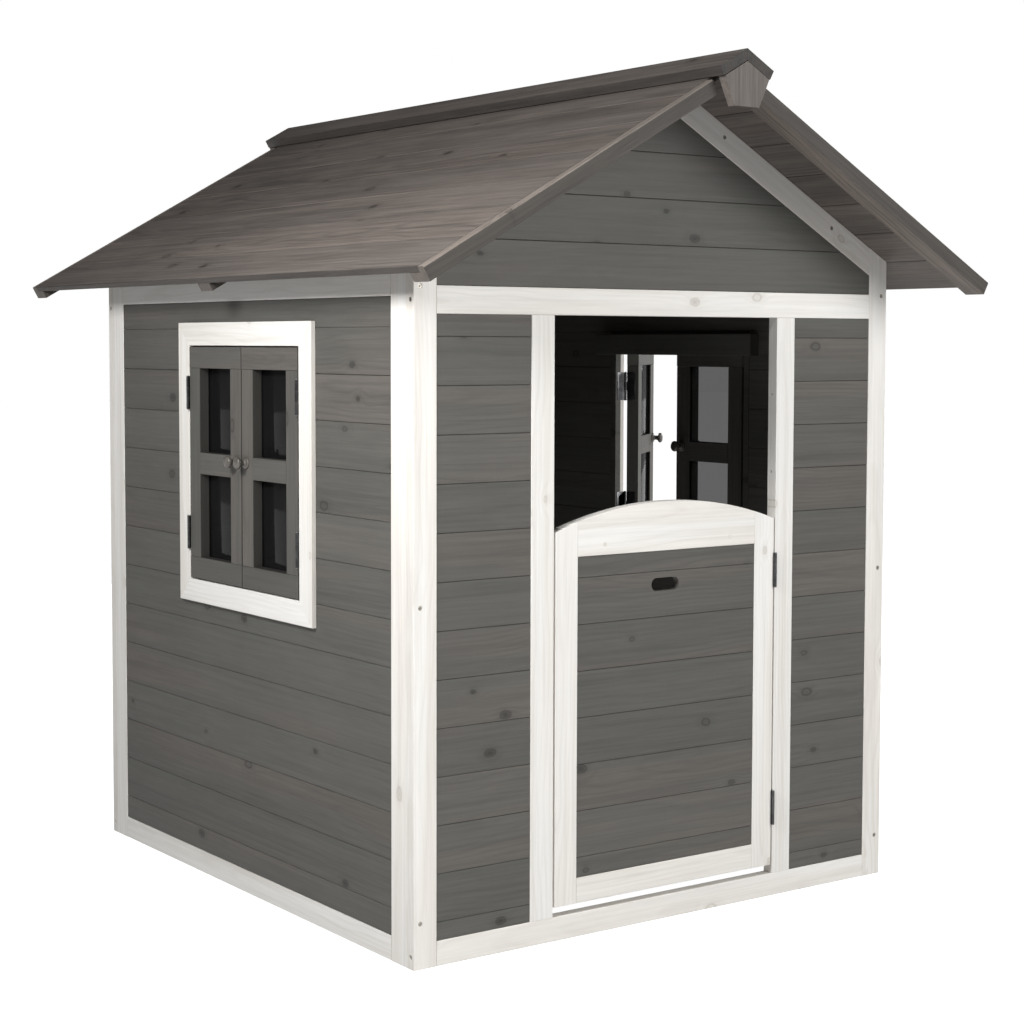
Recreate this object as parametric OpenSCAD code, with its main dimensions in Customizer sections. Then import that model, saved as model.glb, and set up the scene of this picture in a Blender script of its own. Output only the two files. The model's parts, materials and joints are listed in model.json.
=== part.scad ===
// Timber garden playhouse: panel-built cabin, pitched board roof, half door
// and two casement windows with hinged sashes. Millimetres, +Z up.
// Origin: underside of the front bottom rail, mid-length, mid-thickness.
// +X to the right seen from the front, +Y to the back.

/* [House] */
// Overall width of the cabin across the front wall
house_w = 1100; // [1000:10:1160]
// Overall depth of the cabin, front face to back face
house_d = 1194; // [1190:2:1240]
// Thickness of the wall framing timber
wall_t = 23; // [22:0.5:25]
// Width of corner posts, battens and rafters
timber_w = 46; // [44:1:48]
// Height of the bottom rails
sill_h = 43; // [40:1:46]
// Height of the underside of the front and back top rails
head_z = 1100; // [1095:1:1105]
// Height of the front and back top rails
head_h = 47; // [44:1:50]

/* [Boards] */
// Cover width of one wall board
board_cover = 82.3; // [82:0.1:82.6]
// Thickness of the wall boards
board_t = 14; // [13:0.5:15]
// Set-back of the boards behind the framing face
board_recess = 1.2; // [0.8:0.1:1.6]
// Height of the first board seam on the front and back walls
front_seam = 74.6; // [70:0.2:76]
// Height of the first board seam on the side walls
side_seam = 90.6; // [88:0.2:92]

/* [Roof] */
// Roof pitch in degrees
pitch = 29.35; // [29:0.05:30]
// Height of the meeting line of the two roof surfaces
roof_z = 1533; // [1530:1:1536]
// Half the width of the roof, ridge to eave, measured level
roof_half = 646; // [630:2:660]
// Overhang of the roof beyond the front wall
gable_over = 176; // [160:2:190]
// Overhang of the roof beyond the back wall
gable_back = 183; // [161:2:191]
// Thickness of the roof boards
roof_board_t = 11; // [10:0.5:12]
// Thickness of the battens under the roof boards
batten_t = 16; // [14:0.5:16]
// Cover width of one roof board
roof_cover = 103.2; // [102:0.1:104]
// Height of the meeting line of the two ridge cap boards' undersides
cap_z = 1535; // [1534.5:0.5:1536]
// Width of each ridge cap board
cap_w = 60.5; // [59:0.5:64]
// Thickness of the ridge cap boards
cap_t = 18; // [16:0.5:18.5]

/* [Door] */
// Left edge of the doorway from the middle of the house
doorway_l = -259.5; // [-262:0.5:-258]
// Right edge of the doorway from the middle of the house
doorway_r = 261.6; // [258:0.2:264]
// Bottom of the door leaf
door_z0 = 60; // [55:1:65]
// Top of the door's arch
door_top = 767; // [760:1:775]
// Radius of the door's arched top
arch_r = 770; // [740:10:800]
// Width of the door stiles
stile_w = 48.5; // [46:0.5:50]
// Largest opening angle of the door
door_open = 165; // [90:5:165]

/* [Windows] */
// Clear width inside the window trim
win_w = 434; // [430:1:436]
// Clear height inside the window trim
win_h = 459; // [456:1:460]
// Bottom of the clear window opening
win_z0 = 586; // [584:1:587]
// Middle of the window along the left wall, from the front face
win_y = 584; // [580:1:588]
// Width of the window trim boards
trim_w = 45; // [43:1:46]
// Distance the trim stands proud of the wall face
trim_proud = 9; // [8:0.5:10]
// Width of the sash stiles and rails
sash_m = 43; // [41:1:44]
// Angle at which the right-hand back sash stands open
sash_open = 131; // [0:1:150]

/* [Hinges] */
// Height of each butt hinge
hinge_h = 64; // [60:1:66]
// Radius of the hinge knuckles
knuckle_r = 3; // [2.8:0.1:3.1]
// Radius of the hinge pins
pin_r = 1.5; // [1.3:0.1:1.6]

/* [Hidden] */
$fn = 48;
hw = house_w/2;
slope = tan(pitch);
cp = cos(pitch);
half_t = wall_t/2;
gap = 0.1;                        // joint line between fitted timbers
// upper face of posts and rafters: under the roof boards
bevel_z = roof_z - roof_board_t/cp - 0.15;
rafter_in_z = bevel_z - timber_w/cp;   // underside of the rafters at x = 0
function top_at(x) = bevel_z - abs(x)*slope;
function raf_at(x) = rafter_in_z - abs(x)*slope;
post_in = hw - timber_w;          // inner side face of the corner posts
board_mid = board_recess + board_t/2;
// side walls
side_y0 = wall_t;
side_y1 = house_d - wall_t;
side_post_w = 48;
side_head_z = 1130;
side_head_top = floor(roof_z - (roof_board_t + batten_t)/cp - hw*slope) - 5;
// door posts
dpost_w = 49.5;
spare_hole_z = [810, 956];        // spare hinge screw holes above the door
// hinges
leaf_t = 1.2;
hinge_gap = 3.2;                  // between the timbers at a hinge
pin_out = 3.2;                    // pin axis in front of the timber face
leaf_w = 20;                      // leaf depth from the timber face
pin_clear = 0.05;
door_hinge_z = [138.5, 593];
// sashes
meet_gap = 3.4;
sash_w = (win_w - 2*hinge_gap - meet_gap)/2;
sash_h = win_h - 4;
sash_z0 = win_z0 + 2;
sash_t = 27;
sash_mid = 21.5;                  // middle of the pane, behind the sash's outer face
sash_hinge_z = [58, 333];         // above the foot of the sash
trim_face = trim_proud;           // trim face in front of the wall face
jamb_depth = board_recess + board_t;
win_y0 = win_y - win_w/2;
win_y1 = win_y + win_w/2;
// hole in the side wall boards behind the trim
hole_y0 = win_y0 - 17;
hole_y1 = win_y1 + 17;
hole_z0 = win_z0 - 18;
hole_z1 = side_seam + 12*board_cover;
pane_t = 3;
groove_d = 5.5;
// roof
eave_s = roof_half/cp;            // ridge to eave along the slope
board_s0 = 45;                    // upper edge of the boards along the slope
batten_s0 = 66;                   // upper end of the battens along the slope
verge_t = 18;                     // verge strip that covers the boards' ends
roof_y0 = -gable_over;
roof_y1 = house_d + gable_back;
finial_t = 18;
finial_y0 = roof_y0 - 24;         // outer face of the front finial
finial_y1 = roof_y1 + finial_t + 0.6;
// door leaf
door_l = doorway_l + 3.5;
door_r = doorway_r - hinge_gap;
arch_x = (door_l + door_r)/2 + 0.4;
door_rail_z = 677;
door_sill_z = 105.5;
door_cover = 83;
door_seam = 141.5;
slot_x = -6.5;
slot_z = 616;
slot_l = 65;
slot_h = 24;

white = [0.94, 0.93, 0.91];
gray = [0.39, 0.38, 0.36];
roofing = [0.42, 0.39, 0.37];
steel = [0.16, 0.16, 0.17];
smoke = [0.55, 0.55, 0.55, 0.5];

// ---------- frames of reference ----------

// moves geometry drawn with the front face at y = 0 to the part's origin
module at_frame() translate([0, -half_t, 0]) children();

// mirrors about the middle of the house, front to back
module to_back() translate([0, house_d, 0]) mirror([0, 1, 0]) children();

// turns the left wall panel into the right one
module to_right() translate([0, house_d, 0]) rotate([0, 0, 180]) children();

// a prism drawn in X and Z with its front face at y = 0
module wall_prism(pts, t = wall_t)
    translate([0, t, 0]) rotate([90, 0, 0]) linear_extrude(t) polygon(pts);

module wall_box(x0, x1, z0, z1, t = wall_t, y0 = 0)
    translate([x0, y0, z0]) cube([x1 - x0, t, z1 - z0]);

// ---------- tongue and groove boards ----------

tongue_t = 4;
tongue_h = 4.8;
chamfer = 0.9;

function board_pts(h, t, tongue, groove) = concat(
    [[chamfer, gap]],
    groove ? [[t/2 - 2.2, gap], [t/2 - 2.2, gap + groove_d],
              [t/2 + 2.2, gap + groove_d], [t/2 + 2.2, gap]] : [],
    [[t - chamfer, gap], [t, gap + chamfer], [t, h - gap - chamfer],
     [t - chamfer, h - gap]],
    tongue ? [[t/2 + tongue_t/2, h - gap], [t/2 + tongue_t/2, h - gap + tongue_h],
              [t/2 - tongue_t/2, h - gap + tongue_h], [t/2 - tongue_t/2, h - gap]] : [],
    [[chamfer, h - gap], [0, h - gap - chamfer], [0, gap + chamfer]]);

// one board along +X, outer face at y = 0, lower edge at z = 0
module board(len, h, t = board_t, tongue = true, groove = true,
             end0 = false, end1 = false) {
    union() {
        rotate([90, 0, 90]) linear_extrude(len)
            polygon(board_pts(h, t, tongue, groove));
        if (end0) translate([-5, t/2 - tongue_t/2, 6.2]) cube([5.5, tongue_t, h - 8]);
        if (end1) translate([len - 0.5, t/2 - tongue_t/2, 6.2]) cube([5.5, tongue_t, h - 8]);
    }
}

// heights of the board seams between z0 and z1
function seams(z0, z1, first, cover) =
    concat([z0], [for (k = [0:40]) let (z = first + k*cover)
        if (z > z0 + 5 && z < z1 - 5) z], [z1]);

// a field of boards from x0 to x1 and z0 to z1
module board_field(x0, x1, z0, z1, first, cover, ends = true) {
    s = seams(z0, z1, first, cover);
    for (k = [0 : len(s) - 2])
        translate([x0 + gap, board_recess, s[k]])
            board(x1 - x0 - 2*gap, s[k + 1] - s[k], board_t,
                  true, k > 0, ends, ends);
}

// groove that takes the end tongues, along z, cut into a face at x = 0 going +X
module end_groove(z0, z1)
    translate([-1, board_mid - 2.2, z0]) cube([1 + groove_d, 4.4, z1 - z0]);

// ---------- screws ----------

screw_r = 2.2;
screw_head_r = 4.2;
screw_sink = 1.2;    // head below the timber face

// countersunk screw pointing along +Y, timber face at y = 0
module screw(len) {
    rotate([-90, 0, 0]) union() {
        translate([0, 0, screw_sink]) cylinder(r1 = screw_head_r, r2 = screw_r, h = 2.6);
        translate([0, 0, screw_sink + 2]) cylinder(r = screw_r, h = len - 6);
        translate([0, 0, screw_sink + len - 4]) cylinder(r1 = screw_r, r2 = 0.6, h = 4);
    }
}

module screw_hole(len) {
    rotate([-90, 0, 0]) union() {
        translate([0, 0, -1]) cylinder(r = screw_head_r + 0.15, h = screw_sink + 1);
        translate([0, 0, screw_sink - 0.01])
            cylinder(r1 = screw_head_r + 0.15, r2 = screw_r + 0.1, h = 2.7);
        cylinder(r = screw_r + 0.08, h = len + 2);
    }
}

// screw positions on the front face: corner posts and rafters
post_screw_z = [78, 611, 1145];
rafter_screws = [[127, 1428], [401, 1272]];
post_screw_x = hw - 13;

module each_post_screw(side)
    for (z = post_screw_z) translate([side*post_screw_x, 0, z]) children();

module each_rafter_screw()
    for (s = [-1, 1]) for (p = rafter_screws)
        translate([s*p[0], 0, p[1]]) children();

// screws driven from the side face of the corner posts into the rails
side_screw_z = [21, 1123];
module each_side_screw(side)
    for (z = side_screw_z) translate([side*hw, 10, z])
        rotate([0, 0, side*90]) children();

// ---------- front and back walls ----------

// corner post on the right, outer side face at x = hw
module corner_post() {
    difference() {
        wall_prism([[post_in, 0], [hw, 0], [hw, top_at(hw)], [post_in, top_at(post_in)]]);
        translate([post_in, 0, 0]) end_groove(sill_h, head_z);
        each_post_screw(1) screw_hole(40);
        each_side_screw(1) screw_hole(60);
    }
}

module wall_rail_bottom() {
    difference() {
        wall_box(-post_in + gap, post_in - gap, 0, sill_h);
        for (s = [-1, 1]) each_side_screw(s) screw_hole(60);
    }
}

module wall_rail_top() {
    difference() {
        wall_box(-post_in + gap, post_in - gap, head_z, head_z + head_h);
        for (s = [-1, 1]) each_side_screw(s) screw_hole(60);
        translate([-post_in - 1, board_mid - 2.2, head_z - 1])
            cube([2*post_in + 2, 4.4, 1 + groove_d]);
    }
}

module gable_field() {
    s = seams(head_z + head_h, rafter_in_z, front_seam, board_cover);
    for (k = [0 : len(s) - 2]) intersection() {
        translate([-post_in, board_recess, s[k]])
            board(2*post_in, s[k + 1] - s[k], board_t, true, k > 0);
        wall_prism([[-post_in + gap, 1000], [post_in - gap, 1000],
            [post_in - gap, raf_at(post_in) - gap], [0, rafter_in_z - gap],
            [-post_in + gap, raf_at(post_in) - gap]]);
    }
}

module rafters() {
    for (s = [0, 1]) mirror([s, 0, 0]) difference() {
        wall_prism([[gap, rafter_in_z - gap*slope], [post_in - gap, raf_at(post_in - gap)],
            [post_in - gap, top_at(post_in - gap)], [gap, top_at(gap)]]);
        for (p = rafter_screws) translate([p[0], 0, p[1]]) screw_hole(18);
    }
}

module front_corner_post_left() color(white) at_frame() mirror([1, 0, 0]) corner_post();
module front_corner_post_right() color(white) at_frame() corner_post();
module front_bottom_rail() color(white) at_frame() wall_rail_bottom();
module front_top_rail() color(white) at_frame() wall_rail_top();

module door_post_left() color(white) at_frame() difference() {
    wall_box(doorway_l - dpost_w, doorway_l, sill_h + gap, head_z - gap);
    translate([doorway_l - dpost_w, 0, 0]) end_groove(sill_h, head_z);
}

module door_post_right() color(white) at_frame() difference() {
    wall_box(doorway_r, doorway_r + dpost_w - 4, sill_h + gap, head_z - gap);
    translate([doorway_r + dpost_w - 4, 0, 0]) mirror([1, 0, 0]) end_groove(sill_h, head_z);
    for (z = door_hinge_z) translate([doorway_r, 0, z])
        leaf_screw_holes(1);
    for (z = spare_hole_z) translate([doorway_r - 1, 12, z])
        rotate([0, 90, 0]) cylinder(r = 2, h = 13);
}

module front_wall_boards_left() color(gray) at_frame()
    board_field(-post_in, doorway_l - dpost_w, sill_h, head_z, front_seam, board_cover);
module front_wall_boards_right() color(gray) at_frame()
    board_field(doorway_r + dpost_w - 4, post_in, sill_h, head_z, front_seam, board_cover);
module front_gable_boards() color(gray) at_frame() gable_field();
module front_gable_rafters() color(white) at_frame() rafters();

module back_corner_posts() color(white) at_frame() to_back()
    for (s = [0, 1]) mirror([s, 0, 0]) corner_post();
module back_bottom_rail() color(white) at_frame() to_back() wall_rail_bottom();
module back_top_rail() color(white) at_frame() to_back() wall_rail_top();
module back_wall_boards() color(gray) at_frame() to_back()
    board_field(-post_in, post_in, sill_h, head_z, front_seam, board_cover);
module back_gable_boards() color(gray) at_frame() to_back() gable_field();
module back_gable_rafters() color(white) at_frame() to_back() rafters();

// ---------- side walls, drawn on the left ----------

module side_box(y0, y1, z0, z1)
    translate([-hw, y0, z0]) cube([wall_t, y1 - y0, z1 - z0]);

// groove along z in a face whose normal is +Y, at y
module side_groove(y, z0, z1)
    translate([-hw + board_mid - 2.2, y - groove_d, z0]) cube([4.4, groove_d + 1, z1 - z0]);

module side_posts() {
    difference() {
        side_box(side_y0 + gap, side_y0 + side_post_w, 0, side_head_top);
        side_groove(side_y0 + side_post_w, sill_h, side_head_z);
        each_post_screw(-1) screw_hole(40);
    }
    difference() {
        side_box(side_y1 - side_post_w, side_y1 - gap, 0, side_head_top);
        translate([0, 2*(side_y1 - side_post_w), 0]) mirror([0, 1, 0])
            side_groove(side_y1 - side_post_w, sill_h, side_head_z);
        to_back() each_post_screw(-1) screw_hole(40);
    }
}

module side_rails() {
    y0 = side_y0 + side_post_w + gap;
    y1 = side_y1 - side_post_w - gap;
    side_box(y0, y1, 0, sill_h);
    difference() {
        side_box(y0, y1, side_head_z, side_head_top);
        translate([-hw + board_mid - 2.2, y0 - 1, side_head_z - 1])
            cube([4.4, y1 - y0 + 2, 1 + groove_d]);
    }
}

// a board along Y from y0 to y1 on the left wall
module side_board(y0, y1, z, h, groove, end0, end1)
    translate([-hw + board_recess, y1 - gap, z]) rotate([0, 0, -90])
        board(y1 - y0 - 2*gap, h, board_t, true, groove, end1, end0);

module side_boards() {
    y0 = side_y0 + side_post_w;
    y1 = side_y1 - side_post_w;
    s = seams(sill_h, side_head_z, side_seam, board_cover);
    for (k = [0 : len(s) - 2]) {
        z = s[k];
        h = s[k + 1] - s[k];
        if (z > hole_z0 && z + h < hole_z1 + 1) {
            side_board(y0, hole_y0, z, h, true, true, false);
            side_board(hole_y1, y1, z, h, true, false, true);
        } else if (z + h > hole_z0 && z < hole_z0) {
            difference() {
                side_board(y0, y1, z, h, true, true, true);
                translate([-hw - 1, hole_y0, hole_z0])
                    cube([wall_t + 2, hole_y1 - hole_y0, 200]);
            }
        } else if (abs(z - hole_z1) < 1) {
            side_board(y0, y1, z, h, false, true, true);
        } else side_board(y0, y1, z, h, k > 0, true, true);
    }
}

// mitred picture-frame trim round the window, four lengths
module win_trim() {
    x = -hw - trim_face;
    t = trim_face + board_recess - gap;
    o = trim_w;
    y0 = win_y0; y1 = win_y1; z0 = win_z0; z1 = win_z0 + win_h;
    g = 0.15;
    for (pts = [
        [[y0 + g, z0 - g], [y1 - g, z0 - g], [y1 + o - g, z0 - o], [y0 - o + g, z0 - o]],
        [[y0 + g, z1 + g], [y1 - g, z1 + g], [y1 + o - g, z1 + o], [y0 - o + g, z1 + o]],
        [[y0, z0 + g], [y0, z1 - g], [y0 - o, z1 + o - g], [y0 - o, z0 - o + g]],
        [[y1, z0 + g], [y1, z1 - g], [y1 + o, z1 + o - g], [y1 + o, z0 - o + g]]])
        difference() {
            translate([x, 0, 0]) rotate([90, 0, 90]) linear_extrude(t) polygon(pts);
            win_frame_screw_holes();
        }
}

// head stop: a batten inside the boards, rebated for the sashes that close
// against it
stop_z0 = win_z0 + win_h - 19;
module win_stop() difference() {
    translate([-hw + board_recess + board_t + gap, win_y0 - trim_w, stop_z0])
        cube([timber_w/2, win_w + 2*trim_w, timber_w]);
    translate([-hw, win_y0 - 2, stop_z0 - 1])
        cube([sash_t - trim_face + 1.2, win_w + 4, win_z0 + win_h - stop_z0 + 1]);
}

// lining of the hole behind the trim
module win_jambs() {
    win_stop();
    x = -hw + board_recess + gap;
    d = board_t;
    zt = hole_z1 - gap;
    difference() {
        union() {
            translate([x, hole_y0 + gap, hole_z0 + gap]) cube([d, win_y0 - hole_y0 - gap, zt - hole_z0 - gap]);
        }
        win_frame_screw_holes();
    }
    difference() {
        translate([x, win_y1, hole_z0 + gap]) cube([d, hole_y1 - win_y1 - gap, zt - hole_z0 - gap]);
        win_frame_screw_holes();
    }
    translate([x, win_y0 + gap, hole_z0 + gap]) cube([d, win_w - 2*gap, win_z0 - hole_z0 - gap]);
    translate([x, win_y0 + gap, win_z0 + win_h]) cube([d, win_w - 2*gap, zt - win_z0 - win_h]);
}

module left_wall_posts() color(white) at_frame() side_posts();
module left_wall_rails() color(white) at_frame() side_rails();
module left_wall_boards() color(gray) at_frame() side_boards();
module left_window_trim() color(white) at_frame() win_trim();
module left_window_jambs() color(gray) at_frame() win_jambs();
module right_wall_posts() color(white) at_frame() to_right() side_posts();
module right_wall_rails() color(white) at_frame() to_right() side_rails();
module right_wall_boards() color(gray) at_frame() to_right() side_boards();
module right_window_trim() color(white) at_frame() to_right() win_trim();
module right_window_jambs() color(gray) at_frame() to_right() win_jambs();

// ---------- roof ----------

// puts geometry drawn with +X down the slope and its upper face at z = 0 on
// the right-hand slope, the ridge line at x = 0
module on_slope() translate([0, 0, roof_z]) rotate([0, pitch, 0]) children();

module slope_boards() {
    n = 7;
    s = concat([board_s0], [for (k = [n - 1 : -1 : 1]) eave_s - k*roof_cover], [eave_s]);
    on_slope() for (k = [0 : len(s) - 2])
        translate([s[k], roof_y1 - verge_t - gap, -roof_board_t]) rotate([0, 0, -90])
            // board edges run down the slope: lay the profile flat
            multmatrix([[1, 0, 0, 0], [0, 0, 1, 0], [0, 1, 0, 0], [0, 0, 0, 1]])
                board(roof_y1 - roof_y0 - 2*verge_t - 2*gap, s[k + 1] - s[k], roof_board_t,
                      k < len(s) - 2, k > 0);
}

// end batten with a raised outer edge that covers the ends of the boards,
// its outer arris rounded; the outer face is at y = 0
verge_r = 4.5;
module verge_batten(len) {
    t = roof_board_t + batten_t + 0.1;
    rotate([90, 0, 90]) linear_extrude(len) union() {
        square([timber_w, batten_t]);
        square([verge_t, t - verge_r]);
        translate([verge_r, 0]) square([verge_t - verge_r, t]);
        translate([verge_r, t - verge_r]) circle(verge_r);
    }
}

module slope_battens() {
    z = -roof_board_t - batten_t - 0.1;
    len = eave_s - batten_s0 - 0.5;
    on_slope() {
        translate([batten_s0, roof_y0, z]) verge_batten(len);
        translate([batten_s0, house_d/2 - 20 - timber_w/2, z]) cube([len, timber_w, batten_t]);
        translate([batten_s0, roof_y1, z]) mirror([0, 1, 0]) verge_batten(len);
    }
}

module roof_boards_right() color(roofing) at_frame() slope_boards();
module roof_boards_left() color(roofing) at_frame() mirror([1, 0, 0]) slope_boards();
module roof_battens_right() color(roofing) at_frame() slope_battens();
module roof_battens_left() color(roofing) at_frame() mirror([1, 0, 0]) slope_battens();

// a strip on each side of the ridge, its underside meeting the other's at z,
// from s0 to s1 along the slope
module ridge_strip(z, s0, s1, t, y0, y1) {
    dx = t*sin(pitch);
    x0 = s0 == 0 ? gap : s0*cp;
    for (s = [0, 1]) mirror([s, 0, 0]) translate([0, y1, z])
        rotate([90, 0, 0]) linear_extrude(y1 - y0)
            polygon([[x0, -x0*slope], [s1*cp, -s1*sin(pitch)],
                [s1*cp + dx, -s1*sin(pitch) + t*cp],
                [s0 == 0 ? gap : x0 + dx, s0 == 0 ? t/cp - gap*slope : -x0*slope + t*cp]]);
}

module ridge_cap() color(roofing) at_frame()
    ridge_strip(cap_z, 0, cap_w, cap_t, finial_y0 + 1, finial_y1 - 1);

// laths that lie on the gable rafters between the upper boards and carry the cap
module ridge_laths() color(roofing) at_frame()
    ridge_strip(bevel_z + 0.15, 0, board_s0 - roof_board_t*slope - 0.3, (cap_z - bevel_z - 0.3)*cp,
        finial_y0 + finial_t + 0.2, finial_y1 - finial_t - 0.2);

module ridge_finials() color(roofing) at_frame() {
    z = cap_z - 1.4;
    w = 58;
    for (y = [finial_y0, finial_y1 - finial_t])
        translate([0, y + finial_t, 0]) rotate([90, 0, 0]) linear_extrude(finial_t)
            polygon([[0, z], [w*cp, z - w*sin(pitch)], [28, z - 77.7],
                [-28, z - 77.7], [-w*cp, z - w*sin(pitch)]]);
}

// ---------- screws in the frame ----------

module frame_screws() color(steel) at_frame() {
    for (m = [0, 1]) translate([0, m*house_d, 0]) mirror([0, m, 0]) {
        for (s = [-1, 1]) {
            each_post_screw(s) screw(38);
            each_side_screw(s) screw(58);
        }
        each_rafter_screw() screw(17);
    }
}

// ---------- butt hinges ----------
// Local frame: pin axis at the origin, +X towards the moving timber,
// +Y from the face into the timber, +Z up from the foot of the hinge.

knuckles = 3;
kn_h = hinge_h/knuckles;

module leaf_screws() {
    for (z = [12, hinge_h - 12]) translate([0, pin_out + 12, z])
        rotate([0, 90, 0]) union() {
            cylinder(r1 = 3, r2 = 1.6, h = 1.1);
            cylinder(r = 1.6, h = 15);
            translate([0, 0, 15]) cylinder(r1 = 1.6, r2 = 0.5, h = 2);
        }
}

// pilot holes in a timber whose face is at x = 0
module leaf_screw_holes(dir)
    for (z = [12, hinge_h - 12]) translate([-dir, 12, z])
        rotate([0, dir*90, 0]) cylinder(r = 1.68, h = 18.2);

// one leaf; moving = 1 takes the middle knuckle, 0 the outer two
module leaf(moving) {
    difference() {
        union() {
            difference() {
                translate([0.3, 0, 0]) cube([leaf_t, pin_out + leaf_w, hinge_h]);
                for (k = [0 : knuckles - 1])
                    if ((k % 2 == 1) != (moving == 1))
                        translate([0, 0, k*kn_h - 0.15])
                            cylinder(r = knuckle_r + 0.3, h = kn_h + 0.3);
            }
            for (k = [0 : knuckles - 1])
                if ((k % 2 == 1) == (moving == 1))
                    translate([0, 0, k*kn_h + 0.15]) cylinder(r = knuckle_r, h = kn_h - 0.3);
        }
        translate([0, 0, -1]) cylinder(r = pin_r + pin_clear, h = hinge_h + 2);
        for (z = [12, hinge_h - 12]) translate([0, pin_out + 12, z])
            rotate([0, 90, 0]) {
                cylinder(r = 1.7, h = 5);
                translate([0, 0, 0.29]) cylinder(r1 = 3.15, r2 = 1.7, h = 1.25);
            }
    }
    translate([0.32, 0, 0]) leaf_screws();
}

// the fixed leaf lies on the other side of the pin
module fixed_leaf() mirror([1, 0, 0]) leaf(0);

module hinge_pin() {
    translate([0, 0, -1.2]) cylinder(r = knuckle_r - 0.4, h = 1.1);
    translate([0, 0, -0.6]) cylinder(r = pin_r, h = hinge_h + 1.2);
    translate([0, 0, hinge_h + 0.1]) cylinder(r = knuckle_r - 0.4, h = 1.1);
}

door_pin_x = doorway_r - hinge_gap/2;

module at_door_hinges() for (z = door_hinge_z)
    translate([door_pin_x, -pin_out, z]) mirror([1, 0, 0]) children();

// Window frame of reference, left wall: pin axes at the two sides.
// side 0 is the front sash, side 1 the back sash.
win_pin_x = -hw - trim_face - pin_out;

// local +X (towards the moving timber) and +Y (into the wall) for each side
module at_win_pin(side)
    if (side == 0)
        translate([win_pin_x, win_y0 + hinge_gap/2, 0]) mirror([1, -1, 0]) children();
    else
        translate([win_pin_x, win_y1 - hinge_gap/2, 0]) rotate([0, 0, -90]) children();

module at_sash_hinges(side) for (z = sash_hinge_z)
    at_win_pin(side) translate([0, 0, sash_z0 + z]) children();

module win_frame_screw_holes()
    for (side = [0, 1]) at_sash_hinges(side)
        translate([-hinge_gap/2, pin_out, 0]) leaf_screw_holes(-1);

module hinge_frame_leaves() color(steel) at_frame() {
    at_door_hinges() fixed_leaf();
    for (side = [0, 1]) {
        at_sash_hinges(side) fixed_leaf();
        to_right() at_sash_hinges(side) fixed_leaf();
    }
}

module hinge_pins() color(steel) at_frame() {
    at_door_hinges() hinge_pin();
    for (side = [0, 1]) {
        at_sash_hinges(side) hinge_pin();
        to_right() at_sash_hinges(side) hinge_pin();
    }
}

// ---------- door leaf ----------

// keeps what lies under the arch
module under_arch() intersection() {
    translate([arch_x, wall_t + 1, door_top - arch_r]) rotate([90, 0, 0])
        cylinder(r = arch_r, h = wall_t + 2, $fn = 200);
    children();
}

module door_groove(x, dir, z0, z1)
    translate([x, board_mid - 2.2, z0]) mirror([dir, 0, 0])
        translate([-1, 0, 0]) cube([1 + groove_d, 4.4, z1 - z0]);

module door_stiles() color(white) at_frame() {
    under_arch() difference() {
        wall_box(door_l, door_l + stile_w, door_z0, 900);
        door_groove(door_l + stile_w, 1, door_z0 + 10, door_rail_z);
    }
    under_arch() difference() {
        wall_box(door_r - stile_w, door_r, door_z0, 900);
        door_groove(door_r - stile_w, 0, door_z0 + 10, door_rail_z);
        for (z = door_hinge_z) translate([door_r, 0, z]) leaf_screw_holes(-1);
    }
}

door_bl = door_l + stile_w;
door_br = door_r - stile_w;

module door_top_rail() color(white) at_frame() under_arch() difference() {
    wall_box(door_bl + gap, door_br - gap, door_rail_z, 900);
    translate([door_bl, board_mid - 2.2, door_rail_z - 1])
        cube([door_br - door_bl, 4.4, 1 + groove_d]);
    for (x = plug_xz) translate([x[0], 0, x[1]]) rotate([-90, 0, 0])
        translate([0, 0, -1]) cylinder(r = 4.1, h = 9);
}

module door_bottom_rail() color(white) at_frame() {
    wall_box(door_bl + gap, door_br - gap, door_z0, door_sill_z);
    for (x = [door_bl - 4.8, door_br - 0.3])
        translate([x, board_mid - 2, door_z0 + 11]) cube([5.1, 4, door_sill_z - door_z0 - 11]);
}

// wooden plugs over the screws that hold the arched rail
plug_xz = [[-147, 696], [148, 694]];
module door_rail_plugs() color(white) at_frame()
    for (x = plug_xz) translate([x[0], 0, x[1]]) rotate([-90, 0, 0])
        translate([0, 0, -0.3]) cylinder(r = 4, h = 8);

door_s = seams(door_sill_z, door_rail_z, door_seam, door_cover);
slot_k = 6;
module door_board_k(k)
    translate([door_bl + gap, board_recess, door_s[k]])
        board(door_br - door_bl - 2*gap, door_s[k + 1] - door_s[k], board_t,
              true, k > 0, true, true);

module door_boards() color(gray) at_frame()
    for (k = [0 : len(door_s) - 2]) if (k != slot_k) door_board_k(k);

module door_slot_board() color(gray) at_frame() difference() {
    door_board_k(slot_k);
    translate([slot_x, board_t + 4, slot_z]) rotate([90, 0, 0])
        linear_extrude(board_t + 8) union() {
            square([slot_l - slot_h, slot_h], center = true);
            for (s = [-1, 1]) translate([s*(slot_l - slot_h)/2, 0]) circle(d = slot_h);
        }
}

module door_hinge_leaves() color(steel) at_frame() at_door_hinges() leaf(1);

// ---------- window sashes ----------
// Local frame: hinge edge at x = 0, outer face at y = 0, foot at z = 0.

sash_rail_z = [[0, 43], [206.5, 249], [sash_h - 42, sash_h]];
pane_z = [[43, 206.5], [249, sash_h - 42]];
knob_z = 238;
knob_x = 19 - meet_gap/2;

// groove or mortise in a sash member, from x0 to x1 and z0 to z1
module sash_cut(x0, x1, z0, z1)
    translate([x0, sash_mid - 1.7, z0]) cube([x1 - x0, 3.4, z1 - z0]);

module sash_tongue(x0, x1, z0, z1)
    translate([x0, sash_mid - 1.5, z0]) cube([x1 - x0, 3, z1 - z0]);

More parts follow.
